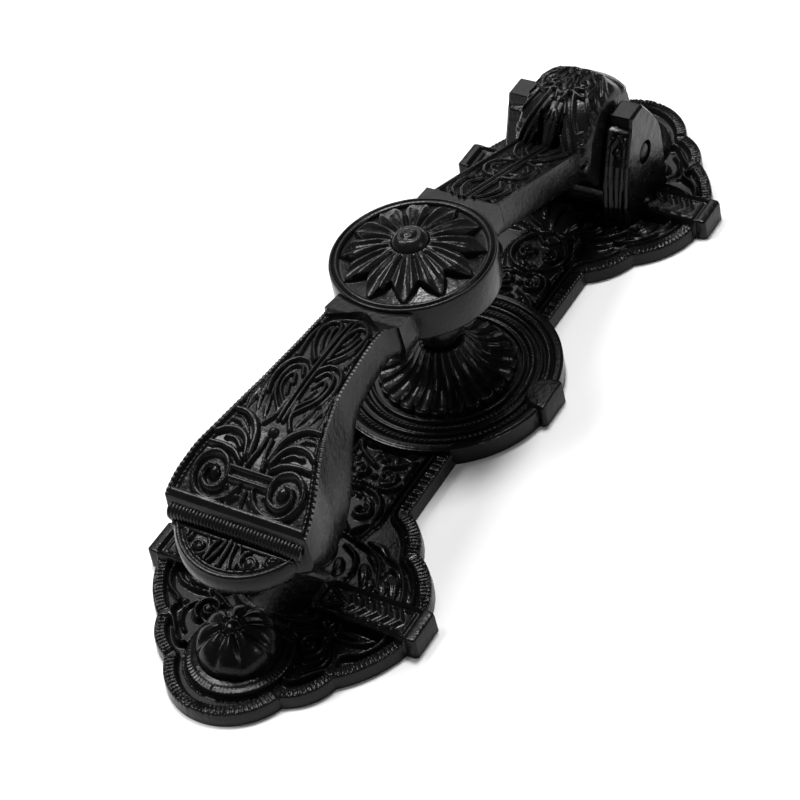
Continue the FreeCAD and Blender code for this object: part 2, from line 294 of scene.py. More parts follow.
def quarter_outline(pitch=0.05):
    """Dense points along one quarter of the plate's edge, and the run along it of each."""
    path = []
    for (ax, ay, radius), (bx, by, _) in zip(QUARTER, QUARTER[1:]):
        a, b = np.array([ax, ay], float), np.array([bx, by], float)
        chord = np.linalg.norm(b - a)
        count = max(2, int(chord / pitch))
        share = np.linspace(0, 1, count, endpoint=False)[:, None]
        points = a + (b - a) * share
        if radius:
            rise = math.sqrt(radius**2 - (chord / 2) ** 2)
            inward = np.array([b[1] - a[1], a[0] - b[0]]) / chord
            centre = (a + b) / 2 + inward * rise
            spokes = points - centre
            points = centre + spokes / np.linalg.norm(spokes, axis=1)[:, None] * radius
        path.append(points)
    path.append(np.array([QUARTER[-1][:2]], float))
    path = np.concatenate(path)
    run = np.concatenate([[0], np.cumsum(np.hypot(*np.diff(path, axis=0).T))])
    return path, run


def inside_outline(x, y, path):
    """Which points lie within the quarter's edge, by counting crossings."""
    corners = np.concatenate([path[::6], [[CENTRE_TAB_REACH, -1], [-1, -1], [-1, path[0, 1]]]])
    within = np.zeros(x.shape, bool)
    for (ax, ay), (bx, by) in zip(corners, np.roll(corners, -1, axis=0)):
        if ay == by:
            continue
        crosses = (ay > y) != (by > y)
        within ^= crosses & (x < (bx - ax) * (y - ay) / (by - ay) + ax)
    return within


def waist_relief(x, y):
    """Scrolls and leaves between the disc and the end field."""
    outer_leaf = [(0.6, 33), (3.2, 33.7), (5.3, 35.8), (6, 38.6), (5.3, 41.4), (3.6, 43.4)]
    cords = smooth([
        ([(5, 18), (6.5, 20.4), (6, 23.6), (3.6, 25.6), (1, 27)], (0.55, 0.42), 1),
        ([(0.6, 31.7), (2.8, 32.2), (5, 31.6), (6.2, 29.2), (6.1, 26.4)], (0.4, 0.55), 1),
        (outer_leaf, (0.45, 0.65, 0.45), 1.15),
        ([(0.5, 45.3), (2.4, 44.5), (4.8, 45)], 0.45, 0.9),
        ([(0.5, 41.6), (1.6, 42.6), (2.2, 43.4)], 0.4, 0.9),
    ]) + [
        (scroll((4.2, 20.4), 2.4, 0.7, -70, 1.6), (0.55, 0.45), 1.1),
        (scroll((3, 29.2), 2, 0.5, 100, -1.5), (0.55, 0.42), 1.15),
        (scroll((2.5, 38.3), 1.9, 0.45, -90, 1.4), (0.55, 0.38), 1.1),
    ]
    leaves = [
        ([(0.9, 18), (1.5, 20.2), (1, 22.8)], 0.6, 0.85),
        ([(1, 23.2), (2.1, 24.2), (2.7, 26.6)], 0.6, 0.8),
        ([(5, 24), (5.8, 25.6), (4.9, 27.8)], 0.6, 0.85),
        ([(1, 34.4), (2.4, 35.2), (4, 35.7)], 0.55, 0.85),
        ([(5.6, 32.6), (6.5, 34.6), (6.6, 37.4)], 0.5, 0.8),
    ]
    beads = [((0, 25), 0.8, 1), ((0, 29.4), 0.7, 0.9), ((0, 34.6), 0.7, 0.9), ((0, 42.4), 0.8, 1)]
    return drawn(x, y, cords, leaves, [*beads, ((3, 29.2), 0.6, 1.3), ((4.2, 20.4), 0.7, 1.3)])


def field_relief(x, y):
    """Leaves, scrolls and frame lines of the wide end fields."""
    cords = smooth([
        ([(6, 45.4), (9.6, 46.4), (12.6, 48.4), (14.2, 51.2), (15.6, 54.6)], 0.45, 1.2),
        ([(4, 46.6), (7.4, 48.6), (8.6, 51.6), (8.2, 55.2)], 0.4, 0.9),
        ([(9.4, 62), (8.8, 64.4), (6.6, 66.3), (3.4, 67.2), (0, 67.5)], 0.5, 1.2),
        ([(0, 69), (4, 68.9), (8, 68.2), (10.6, 66.9), (14, 65.9), (18.4, 65.6)], 0.4, 1),
        ([(12.4, 63.4), (14, 64.9), (13.2, 67), (11.6, 68)], 0.4, 0.9),
        ([(13.6, 66.8), (16.4, 67), (19.6, 66.3), (21.4, 65)], (0.4, 0.55), 0.9),
        ([(14.2, 69), (15.6, 71.4), (15, 74), (12.8, 76.2)], (0.5, 0.3), 0.8),
        ([(13.2, 46.6), (16.4, 47.8), (18.9, 50.4), (20.6, 53.4), (21.4, 55.6)], (0.4, 0.6), 1.1),
        ([(14.6, 51), (15.2, 48.9), (17, 49.4), (18.4, 51.6)], 0.42, 0.9),
    ]) + [
        (scroll((11, 70.2), 2.9, 0.6, 75, -1.4), (0.6, 0.45), 1.2),
        (scroll((11, 64.7), 1.5, 0.4, -90, 1.1, 24), 0.4, 0.9),
    ]
    leaves = [
        ([(9.6, 49.4), (11.2, 51.6), (12.2, 54.6)], 1, 1.1),
        ([(16, 50.4), (18, 52.6), (19, 55.6)], 1.1, 1.1),
        ([(14.8, 51.8), (16.2, 53.4), (16.6, 55.8)], 0.8, 1),
        ([(7.6, 44.2), (10.6, 44.9), (13.4, 46.6)], 0.7, 1),
        ([(9.2, 47), (11.4, 48.2), (13, 50.6)], 0.6, 0.9),
        ([(12.6, 52), (13.6, 53.6), (13.8, 55.6)], 0.7, 0.9),
        ([(20.2, 51.6), (21.6, 53.4), (22.8, 55.6)], 0.6, 0.8),
        ([(4.4, 49.6), (5.8, 52.2), (5.6, 55)], 0.9, 0.9),
        ([(15.2, 64.6), (18.2, 64.7), (21.2, 64.4)], 0.5, 0.8),
        ([(1.6, 46.6), (2.6, 50.6), (1.8, 54.6)], 0.9, 0.9),
    ]
    return drawn(x, y, cords, leaves, [((11, 70.2), 0.9, 1.1), ((16.8, 70), 0.6, 0.6)])


def tab_relief(x, y):
    """The framed panel on each end tab: an eye and a row of chevrons."""
    middle = (TAB_NEAR + TAB_FAR) / 2
    off = np.abs(y - middle)
    cords = [
        ([(7, 0), (7, 2.2), (8.6, 3.4), (TAB_PLAIN, 3.4), (TAB_PLAIN, 0)], 0.42, 0.85),
        ([(8.6, 0), (8.6, 1.4), (9.2, 1.9), (12.2, 0)], 0.32, 0.7),
        ([(13, 2.4), (25.9, 2.4), (25.9, 0)], 0.24, 0.45),
    ]
    cords += [([(place - 1.1, 2.1), (place + 0.3, 0)], 0.48, 0.8) for place in np.arange(14.2, 26, 2.45)]
    return drawn(x, off, cords, bosses=[((10, 0), 0.55, 0.6)])


def centre_tab_top(y):
    """Cushioned top of a centre tab."""
    worn_edge = 0.3 * (1 - step(CENTRE_TAB_HALF - y, 0, 0.6))
    return CENTRE_TAB_TOP + 0.25 - 0.3 * (y / CENTRE_TAB_HALF) ** 2 - worn_edge


def plate_height(x, y, depth, run):
    """Height of the plate's top over one quarter, from the place, the depth inside the edge and its run."""
    rib_end = np.where(y > TAB_FAR - 1, RIB_WIDTH_ENDS, RIB_WIDTH_SIDES)
    rib = step(depth, EDGE_INSET + 0.05, EDGE_INSET + 0.3) * (1 - step(depth, rib_end - 0.3, rib_end))
    ribs = rib * (0.85 + 0.9 * np.abs(np.cos(PI * run / RIB_PITCH)) ** 0.7)
    brim = (1 - step(depth, EDGE_INSET + 0.05, EDGE_INSET + 0.35)) * (PLATE_TOP - 0.1 - PLATE_FLOOR)
    # the smooth line inside the ribs, and the beaded border of the waist
    inner_line = hump((depth - 3.55) / 0.42) * 1.7 * (y < TAB_NEAR) * (y > 18)
    beads = 0.75 + 0.25 * np.cos(2 * PI * y / 0.8)
    border = ridge(x, y, curve([(7.15, 18), (7.15, 38.5), (6.6, 40.6), (5.6, 45.2)]), 0.4, 1.5) * beads
    # the scalloped line of the ends
    scallops = [(23, 64), (22.4, 66.4), (20.8, 68.6), (18, 70.2), (17.4, 71.4), (17.7, 73.2)]
    scallops = ridge(x, y, curve(scallops + [(15.4, 75.6), (12.4, 78.8), (10.2, 78.6)]), 0.5, 1.75)
    waist = RELIEF_GAIN * waist_relief(x, y) * (y < 46) * ((depth > 3.9) | (x < 6.9))
    field = RELIEF_GAIN * field_relief(x, y) * (y > 44) * (depth > 4.2)
    # smooth crowned pad between the inner ends of the tabs, with a thin line along its outer edge
    pad = np.clip(0.11 * (66.2 - y) - 0.012 * x**2, 0, None) * (1 - step(56.5 - y, 0, 4)) * (x < 8)
    pad_line = ridge(x, y, curve([(0, 66.9), (3.2, 66.6), (6, 65.7), (8.6, 64.1)]), 0.42, 1.7)
    # smooth wedges where the two lobes of each side meet
    wedge = step(2.7 - np.hypot(x - 17, y - 44.8), 1.4, 2) * (depth > 2.6)
    parts = [ribs, brim, inner_line, border, scallops, waist, field, pad, pad_line, wedge]
    z = PLATE_FLOOR + np.maximum.reduce(parts)
    # tab with its panel
    on_tab = (x > TAB_ROOT) & (y > TAB_NEAR) & (y < TAB_FAR)
    bevel = 0.35 * (1 - step(np.minimum(y - TAB_NEAR, TAB_FAR - y), 0, 0.45))
    panel = TAB_PANEL + tab_relief(x, y) - bevel
    plain_end = TAB_TOP - 0.05 - 0.12 * step(x, 28, 29.2) - bevel
    z = np.where(on_tab, np.where(x > TAB_PLAIN, np.maximum(panel, plain_end), panel), z)
    centre_tab = (x > CENTRE_TAB_ROOT) & (y < CENTRE_TAB_HALF)
    z = np.where(centre_tab, centre_tab_top(y), z)
    z = np.where(np.hypot(x, y) < DISC_RADIUS - 0.35, 2.2, z)
    # collar, channel and ribs round the rosette
    away = np.hypot(x, y - ROSETTE_Y)
    reeded = 0.22 * np.abs(np.sin(40 * np.arctan2(y - ROSETTE_Y, x))) * step(away, 8.6, 8.9)
    collar = 3.5 - 0.22 * (away - ROSETTE_RADIUS) - reeded - 1.9 * step(away, 10.1, COLLAR_RADIUS)
    on_collar = (away < COLLAR_RADIUS) & (y > 66)
    z = np.where(on_collar, np.where(y > 71, collar, np.maximum(collar - 0.4, z)), z)
    z = np.where(away < 3.05, TAPPED_DEPTH + 0.3, z)
    return z


def softened(z):
    """Evens out sharp steps, as paint and a worn mould do."""
    whole, inside = slice(None), slice(1, -1)
    for axis, inner in enumerate([(inside, whole), (whole, inside)]):
        blurred = 0.22 * np.roll(z, 1, axis) + 0.56 * z + 0.22 * np.roll(z, -1, axis)
        z[inner] = blurred[inner]
    return z


def plate_skin():
    """The plate as one closed skin: relief on top, drafted edge, flat back with two tapped holes."""
    path, run = quarter_outline()
    tree = kdtree.KDTree(len(path))
    for i, (px, py) in enumerate(path):
        tree.insert((px, py, 0), i)
    tree.balance()
    xs = np.arange(0, TAB_REACH + GRID, GRID)
    ys = np.arange(0, path[0, 1] + GRID, GRID)
    x, y = np.meshgrid(xs, ys)
    near = np.array([tree.find((a, b, 0))[1] for a, b in zip(x.ravel(), y.ravel())]).reshape(x.shape)
    gap = np.hypot(x - path[near, 0], y - path[near, 1])
    within = inside_outline(x, y, path)
    kept = within & (gap >= EDGE_INSET)
    z = softened(plate_height(x, y, np.where(within, gap, 0), run[near]))
    # points next to the edge snap to the inset line and, below it, to the edge itself
    grid, nearest = np.stack([x, y], -1), path[near]
    inset = nearest + (grid - nearest) / (gap + 1e-9)[..., None] * EDGE_INSET

    column = np.arange(-(len(xs) - 1), len(xs))
    row = np.arange(-(len(ys) - 1), len(ys))
    mirror = np.stack(np.meshgrid(np.sign(column), np.sign(row)), -1)
    take = np.ix_(np.abs(row), np.abs(column))
    keep = kept[take]
    cells = keep[:-1, :-1] & keep[1:, :-1] & keep[:-1, 1:] & keep[1:, 1:]
    index = np.arange(keep.size).reshape(keep.shape)
    corners = [index[:-1, :-1], index[:-1, 1:], index[1:, 1:], index[1:, :-1]]
    quads = np.stack([corner[cells] for corner in corners], -1)

    ringed = np.zeros((cells.shape[0] + 2, cells.shape[1] + 2), bool)
    ringed[1:-1, 1:-1] = cells
    rows_up, rows_down = ringed[2:, 1:-1], ringed[:-2, 1:-1]
    cols_right, cols_left = ringed[1:-1, 2:], ringed[1:-1, :-2]
    rims = []
    sides = [(rows_down, (0, 1)), (cols_right, (1, 2)), (rows_up, (2, 3)), (cols_left, (3, 0))]
    for neighbour, (a, b) in sides:
        open_side = cells & ~neighbour
        rims.append(np.stack([corners[a][open_side], corners[b][open_side]], -1))
    rims = np.concatenate(rims)
    rim_points = np.unique(rims)

    flat, inset, edge = ((part[take] * mirror).reshape(-1, 2) for part in (grid, inset, nearest))
    flat_z = z[take].ravel()
    rim, edge = inset[rim_points], edge[rim_points]
    flat[rim_points] = rim
    levels = [np.column_stack([flat, flat_z])]
    # share of the way out from the inset line, and drop below the rim; the last reaches the back
    edge_steps = ((0.30, 0.10), (0.62, 0.5), (1, None))
    for share, drop in edge_steps:
        level_z = np.zeros(len(rim)) if drop is None else flat_z[rim_points] - drop
        levels.append(np.column_stack([rim + (edge - rim) * share, level_z]))
    points = np.concatenate(levels)
    order = np.full(keep.size, -1)
    order[rim_points] = np.arange(len(rim))
    faces = quads.tolist()
    upper = rims
    for level in range(len(edge_steps)):
        lower = keep.size + level * len(rim) + order[rims]
        faces += np.stack([upper[:, 0], upper[:, 1], lower[:, 1], lower[:, 0]], -1).tolist()
        upper = lower
    return closed_back(points, faces)


def closed_back(points, faces, around=48):
    """Closes the plate's back round two blind tapped holes."""
    work = bmesh.new()
    used = np.unique(np.concatenate([np.ravel(face) for face in faces]))
    verts = {int(i): work.verts.new(points[i]) for i in used}
    for face in faces:
        work.faces.new([verts[i] for i in face])
    bmesh.ops.remove_doubles(work, verts=list(work.verts), dist=0.004)
    edges = [edge for edge in work.edges if edge.is_boundary]
    for side in (1, -1):
        mouth = []
        for k in range(around):
            turn = 2 * PI * k / around
            spot = (TAPPED_RADIUS * math.cos(turn), side * ROSETTE_Y + TAPPED_RADIUS * math.sin(turn))
            mouth.append((work.verts.new((*spot, 0)), work.verts.new((*spot, TAPPED_DEPTH))))
        for (low_a, high_a), (low_b, high_b) in zip(mouth, mouth[1:] + mouth[:1]):
            work.faces.new((low_a, low_b, high_b, high_a))
        work.faces.new([high for _, high in mouth])
        edges += [work.edges.get((a[0], b[0])) for a, b in zip(mouth, mouth[1:] + mouth[:1])]
    bmesh.ops.triangle_fill(work, edges=edges, use_beauty=True, normal=(0, 0, -1))
    work.verts.index_update()
    skin = [tuple(vert.co) for vert in work.verts], [[v.index for v in face.verts] for face in work.faces]
    work.free()
    return skin


def disc_height(radius, angle):
    """The fluted anvil dome and the cord rings round it."""
    flutes = 24
    phase = (angle * flutes / (2 * PI)) % 1 - 0.5
    across = np.clip(1 - (2 * phase) ** 2, 0, 1)
    flare_radii = [4.5, 5.2, 6.2, 7.4, 9, 11, 12.6, 13.8]
    flare = np.interp(radius, flare_radii, [12.2, 11, 9.5, 8.2, 7, 6.2, 5.9, 5.6])
    width = step(radius, 4.4, 8.5)
    flute = -0.55 * across * width + 0.25 * bell((np.abs(phase) - 0.5) / 0.1)
    tip = 13.1 + 0.75 * np.sqrt(across)
    dome = (flare + flute) * (1 - step(radius, tip - 0.5, tip + 0.1))
    dome = np.maximum(dome, 4.9 * (1 - step(radius, tip - 0.1, tip + 0.3)))
    seat = np.where(radius < 4.5, 12.25 - 0.15 * step(radius, 3.9, 4.5), 0)
    floor = DISC_FLOOR + 0 * angle

    def cord(place, half, tall, twist=0, depth=0):
        beads = 1 - depth + depth * np.abs(np.cos(angle * twist / 2 + (radius - place) * 1.5))
        return floor + tall * beads * hump((radius - place) / half)

    z = np.maximum(np.maximum(dome, seat), floor)
    for ring in [
        cord(15.2, 0.5, 0.95),
        cord(16.9, 0.62, 1, 116, 0.25),
        cord(18.7, 0.45, 0.85),
        cord(20.1, 0.6, 0.95, 126, 0.35),
    ]:
        z = np.maximum(z, ring)
    rim = floor + 0.75 * step(radius, 20.9, 21.5) - 0.3 * step(radius, 22.3, DISC_RADIUS)
    z = np.maximum(z, rim)
    across_x, across_y = np.abs(radius * np.cos(angle)), np.abs(radius * np.sin(angle))
    cushion = np.hypot(np.clip(21.6 - across_x, 0, None) / 3.7, across_y / CENTRE_TAB_HALF)
    return z + (centre_tab_top(np.minimum(across_y, CENTRE_TAB_HALF)) - z) * (1 - step(cushion, 0.82, 1))


def rosette_height(radius, angle):
    """A melon-shaped rosette with eight broad petals and a button."""
    petals, button_radius = 8, 1.5
    phase = (angle * petals / (2 * PI)) % 1 - 0.5
    seam = bell((0.5 - np.abs(phase)) * (radius + 1.5) / 1.3)
    belly = 4.2 + 5.9 * np.sqrt(np.clip(1 - (radius / 7.85) ** 2.3, 0, 1))
    z = belly - 0.6 * seam * step(radius, 1.2, 3.2) + 0.15 * np.cos(2 * PI * phase)
    button = 9.4 + 0.95 * hump(radius / button_radius)
    hollow = 0.5 * bell((radius - 1.8) / 0.45)
    return np.where(radius < button_radius, button, z - hollow)


def ear_skins():
    """The two carved hinge ears, with a shallow recess round each pin end."""
    front_edge = [(50.9, 1.6), (51.2, 7.7), (52.2, 12.3), (53.5, 16.5), (55.2, 20.4), (56.9, 24.3)]
    crest = [(57.5, 26.5), (62.6, 26.5)]
    back_edge = [(65, 23.4), (66.9, 20.7), (68.3, 18.4), (69.1, 15.1), (69.3, 12.2), (69.3, 1.6)]
    profile, normals = resampled(front_edge + crest + back_edge, 0.2)
    middle = (EAR_INNER + EAR_OUTER) / 2
    front = (profile[:, 0] < 58.2) & (profile[:, 1] > 3)

    def carving(x, y, z):
        off = np.abs(x - middle)
        neck = -0.55 * bell((z - 23.9) / 0.38)
        panel = -0.55 * step(23.3 - z, 0, 0.3) * (1 - step(off, 1.75, 2.05))
        cords = [
            ([(0, 22.6), (1.2, 20.6), (1.35, 17.6), (0.9, 5)], 0.3, 0.6),
            ([(1.75, 22.8), (1.7, 5)], 0.2, 0.3),
            ([(0, 16.6), (0, 4)], 0.28, 0.45),
        ]
        lines = drawn(off, z, cords, bosses=[((0, 19.2), 0.85, 0.7), ((1.3, 21.9), 0.4, 0.5)])
        turned_front = 1.1 * (EAR_OUTER - np.abs(x)) / (EAR_OUTER - EAR_INNER) * step(24.3 - z, 0, 0.5)
        return np.where(front, neck + panel + lines * (z < 23.4) + turned_front, 0)

    skins = []
    for side in (1, -1):
        places = np.concatenate([[0, 0.15, 0.4], np.arange(0.6, 4.7, 0.18), [4.8, 5.05, 5.2]])
        bevels = np.interp(places, [0, 0.4, 4.6, 5.2], [0.35, 0, 0, 0.55])
        columns = [(side * (EAR_INNER + place), bevel) for place, bevel in zip(places, bevels)]
        inner = [(side * EAR_INNER, share, 2.6) for share in (0, 0.5, 0.93)]
        outer = [(side * EAR_OUTER, share, 2.6) for share in (0.93, 0.8, 0.6, 0.4, 0.2, 0)]
        outer += [(side * (EAR_OUTER - 1), 0, 2.45), (side * (EAR_OUTER - 1.05), 0, 1.5)]
        points, faces = slab(profile, normals, columns, carving, (inner, outer))
        rough = ripple(points[:, 0], points[:, 1], points[:, 2], 1.6, 0.05)
        points[:, 0] -= side * np.clip(rough + 0.1, 0, None) * (np.abs(points[:, 0]) > EAR_OUTER - 0.1)
        skins.append((points, faces))
    return skins


# ---- arm


def bar_skin(places, half, under, top, low, relief, square=0.42):
    """A cast bar along Y with a carved top and a rounded underside; the measures are arrays over places."""
    share = np.linspace(-1, 1, 141)
    turn = np.linspace(0, PI, 45)[1:-1]
    depth = np.sin(turn) ** square
    side = np.sign(np.cos(turn)) * np.abs(np.cos(turn)) ** square
    rings = []
    for y, wide, narrow, high, bottom in zip(places, half, under, top, low):
        x = (wide - 0.45) * share
        z = high + relief(x, np.full_like(x, y), wide)
        under_x = side * (wide + (narrow - wide) * depth**3)
        under_z = high - 0.45 - (high - 0.45 - bottom) * depth
        ring_x, ring_z = np.concatenate([x, under_x]), np.concatenate([z, under_z])
        rings.append(np.column_stack([ring_x, np.full_like(ring_x, y), ring_z]))
    return shell(rings)


# Places along the handle as (y, half width, top) and as (y, underside).
HANDLE_TOP = [
    (-17.4, 8.5, 36.2), (-20, 8.5, 36.6), (-22.5, 8.5, 37), (-22.65, 7.7, 37.1), (-25.1, 7.05, 38),
    (-29, 7.1, 38.4), (-32, 7.3, 38.4), (-38.4, 7.9, 38.45), (-41.5, 8.3, 38.35), (-43.6, 8.6, 38.2),
    (-46.6, 9.3, 37.9), (-49.7, 10.1, 37.4), (-52.8, 11, 36.8), (-55.4, 11.9, 36.1), (-58.8, 13.3, 35),
    (-61.1, 14.1, 33.8), (-64.2, 15, 32.2), (-66.5, 15.3, 30.9), (-68.3, 15.3, 29.9), (-68.7, 15, 27.4),
    (-69.8, 13.9, 25.6), (-70.6, 13.4, 25.3),
]
HANDLE_LOW = [
    (-17.4, 28.4), (-22.5, 28.4), (-22.65, 29.8), (-24.2, 30.3), (-27.2, 30), (-32.2, 29.4), (-36, 29.2),
    (-39, 28.4), (-41.8, 24.8), (-43.5, 21), (-45.5, 17.2), (-46.9, 15), (-50.2, 12.9), (-53.2, 12.5),
    (-57, 13.4), (-62, 15.8), (-66, 18.4), (-70.6, 22),
]


def handle_paths():
    """The half-pattern of the handle's panel as cords, leaves and beads over (|x|, y)."""
    upper_loop = [(0.9, -35), (0.95, -28.4), (2.2, -25.9), (4, -26.5), (4.6, -29.2)]
    upper_loop += [(3.5, -33), (1.4, -36)]
    volute = [(1.5, -63.9), (3.1, -65.9), (6.2, -67), (9.4, -66.2), (11.2, -63.4), (10.6, -60.8)]
    volute += [(8.2, -59.3), (5.6, -60.1), (4.5, -62.4), (5.3, -64.6), (7.6, -65.2), (9.2, -63.7)]
    volute += [(8.7, -61.8), (7.3, -61.6)]
    cords = smooth([
        ([(5.5, -27), (5.2, -24.6), (2.6, -22.8), (0, -21.6)], 0.42, 0.8),
        ([(4.4, -26.4), (2.4, -24.6), (0, -23.4)], 0.32, 0.6),
        (upper_loop, 0.36, 0.85),
        ([(1.6, -33.6), (2.8, -31), (3.4, -28.2)], 0.3, 0.65),
        ([(1.5, -31), (2.2, -29), (2.3, -27.2)], 0.28, 0.6),
        ([(5.2, -28.2), (5.5, -31.6), (5, -35.8)], (0.3, 0.45), 0.75),
        ([(2.2, -35.6), (3.4, -33.8), (4.3, -31.8)], 0.3, 0.6),
        ([(0.9, -38), (2.4, -36.6), (4.6, -37), (6.1, -39.4), (6.3, -42.6), (5.6, -45.6)], 0.42, 0.9),
        ([(1.4, -40.2), (2.6, -38.3), (4.3, -38.9), (5, -41.6), (4.2, -45.2), (1.6, -48.6)], 0.34, 0.8),
        ([(2, -42.4), (3, -40.3), (4, -41.4), (3.7, -44.2), (1.5, -47)], 0.3, 0.75),
        ([(2, -44.9), (2.8, -42.6)], 0.28, 0.6),
        ([(1.1, -46), (1.5, -49.6), (2.7, -51.8)], 0.4, 0.7),
        ([(9, -50.8), (6.6, -50.9), (4.4, -52.2), (2.8, -54.6), (2, -58.4)], (0.45, 0.7, 0.5), 1),
        ([(10.3, -55.9), (8.6, -54.8), (6, -54.6), (3.9, -56), (2.7, -58.8)], (0.5, 0.6, 0.4), 0.95),
        ([(8, -56.2), (6, -56.2), (4.4, -57.4)], 0.4, 0.7),
        ([(10.6, -58), (8, -57.9), (5.2, -58.4), (3.2, -59.8)], (0.4, 0.6, 0.4), 0.9),
        ([(0.6, -54.6), (0.8, -57), (1.6, -60)], 0.38, 0.85),
        ([(1.3, -65), (2.4, -66), (3, -67)], 0.35, 0.6),
    ]) + [
        ([(0.5, -24.4), (0.5, -50.5)], 0.34, 0.75),
        (curve(volute, 5), (0.4, 0.55, 0.5, 0.4), 1.05),
        ([(0, -60.9), (4.3, -60.9)], 0.42, 0.9),
        ([(0, -62.7), (4.2, -62.7)], 0.46, 0.95),
        ([(0, -64.2), (0, -66.8)], 0.45, 0.7),
        ([(0, -67.5), (14.2, -67.5)], 0.72, 1.1),
    ]
    leaves = [
        ([(6.7, -41), (6.6, -45.4), (5.2, -50.4)], 0.7, 0.9),
        ([(4.9, -45.4), (4.1, -48.4), (3.1, -51.2)], 0.65, 0.85),
        ([(6.9, -43.6), (7.7, -47.2), (7.6, -50.2)], 1, 0.75),
        ([(9.4, -52.6), (6.8, -52.6), (4, -54.8)], 0.85, 0.8),
    ]
    bosses = [((0, -53), 1, 1.1), ((7.2, -62.6), 1.1, 1.15), ((3.9, -63.9), 0.4, 0.6)]
    return cords, leaves, bosses


HANDLE_PATTERN = handle_paths()


def handle_relief(x, y, wide):
    """A sunk panel between raised edges, with its leaf work."""
    across = np.abs(x)
    margin = wide - across
    gable = step(-y - 0.72 * across, 21, 21.7)
    sunk = -0.85 * step(margin, 1, 1.4) * (y > -67.9) * gable
    line = 0.5 * hump((margin - 1.9) / 0.3) * (y < -24)
    beads = 0.8 + 0.2 * np.cos(2 * PI * y / 0.8)
    pattern = drawn(across, y, *HANDLE_PATTERN, wider=1.18, higher=1.15) * (margin > 1.2)
    notched = 0.1 * np.cos(2 * PI * y / 0.9) * (y < -24) * (margin < 0.95)
    return np.where(sunk < 0, sunk + np.maximum(pattern, line * beads), notched)


def eased(places, values):
    """Rounds off a table's line along the grip, but not at the collar or the end ridge."""
    near = 6
    evenly = np.ones(2 * near + 1) / (2 * near + 1)
    blurred = np.convolve(np.pad(values, near, mode="edge"), evenly, "valid")
    return np.where((places < -24) & (places > -67), blurred, values)


def handle_skin():
    """The handle from the near collar to the roll."""
    places = np.arange(-17.4, -70.6, -0.18)
    table, low = np.array(HANDLE_TOP)[::-1], np.array(HANDLE_LOW)[::-1]
    half, top = (eased(places, np.interp(places, table[:, 0], table[:, column])) for column in (1, 2))
    bottom = eased(places, np.interp(places, low[:, 0], low[:, 1]))
    under = half * np.interp(-places, [22.4, 26, 44, 64, 71], [0.98, 0.97, 1, 1, 0.96])
    return bar_skin(places, half, under, top, bottom, handle_relief, 0.26)


def roll_skins():
    """The finely reeded roll across the handle's end, and the bead under it."""
    places = np.concatenate([[-ROLL_HALF, -14], np.arange(-13.8, 13.81, 0.12), [14, ROLL_HALF]])
    reeds = ROLL_RADIUS + 0.15 * np.abs(np.cos(PI * places / REED_PITCH)) ** 0.7
    radius = np.where(np.abs(places) > 13.9, ROLL_RADIUS, reeds)
    bead = [(0.35, -12.9), (0.5, -12.7), (0.5, 12.7), (0.35, 12.9)]
    return [
        turned(list(zip(radius, places)), "X", (0, ROLL_Y, ROLL_Z), 64),
        turned(bead, "X", (0, -70.5, 25.2), 24),
    ]


def droop(y):
    """How far the lip hangs below level at y."""
    return 0.17 * np.clip(LIP_START - y, 0, None)


def tongue_skin():
    """The half-round lip with its palmette, as nested rings round a middle point."""
    middle = np.array([0, LIP_START - 2])
    centre_y = LIP_START + math.sqrt(LIP_RADIUS**2 - LIP_HALF**2)
    sweep = math.asin(LIP_HALF / LIP_RADIUS)
    turns = np.linspace(-sweep, sweep, 90)
    arc = [(LIP_RADIUS * math.sin(turn), centre_y - LIP_RADIUS * math.cos(turn)) for turn in turns]
    outline, _ = resampled([(LIP_HALF, -66.5), (-LIP_HALF, -66.5), *arc], 0.22)
    bosses = [((5.3, -73.3), 0.9, 0.6), ((9.3, -71.9), 0.7, 0.5)]
    cords = smooth([
        ([(1, -70.8), (1.5, -73.6), (2.3, -75.7)], 0.42, 0.7),
        ([(2.2, -70.9), (2.9, -72.6), (3.2, -75.4)], 0.38, 0.65),
    ]) + [
        (scroll((5.3, -73.3), 2.1, 0.7, 120, 1.1, 24), 0.46, 0.7),
        (scroll((9.3, -71.9), 1.6, 0.6, 160, 1.1, 24), 0.4, 0.65),
        ([(0, -70.5), (0, -75.9)], 0.5, 0.75),
    ]
    rings = []
    reach = np.linalg.norm(outline - middle, axis=1)
    for share in np.concatenate([np.linspace(0.01, 0.9, 56), np.linspace(0.91, 0.975, 8)]):
        spot = middle + (outline - middle) * share
        x, y = np.abs(spot[:, 0]), spot[:, 1]
        margin = reach * (1 - share)
        edge_gap = LIP_RADIUS - np.hypot(x, y - centre_y)
        rims = np.maximum(0.6 * hump((edge_gap - 0.75) / 0.55), 0.4 * hump((edge_gap - 1.9) / 0.3))
        palmette = 1.5 * drawn(x, y, cords, (), bosses) * (edge_gap > 2)
        z = LIP_TOP + np.maximum(rims, palmette)
        z -= 0.3 * (1 - step(np.minimum(margin, edge_gap), 0, 0.4)) + droop(y)
        rings.append(np.column_stack([spot, z]))
    for share, z in ((1, 24.85), (1, 22.5), (0.97, 21.9), (0.9, 21.6)):
        spot = middle + (outline - middle) * share
        rings.append(np.column_stack([spot, z - droop(spot[:, 1])]))
    return shell(rings)


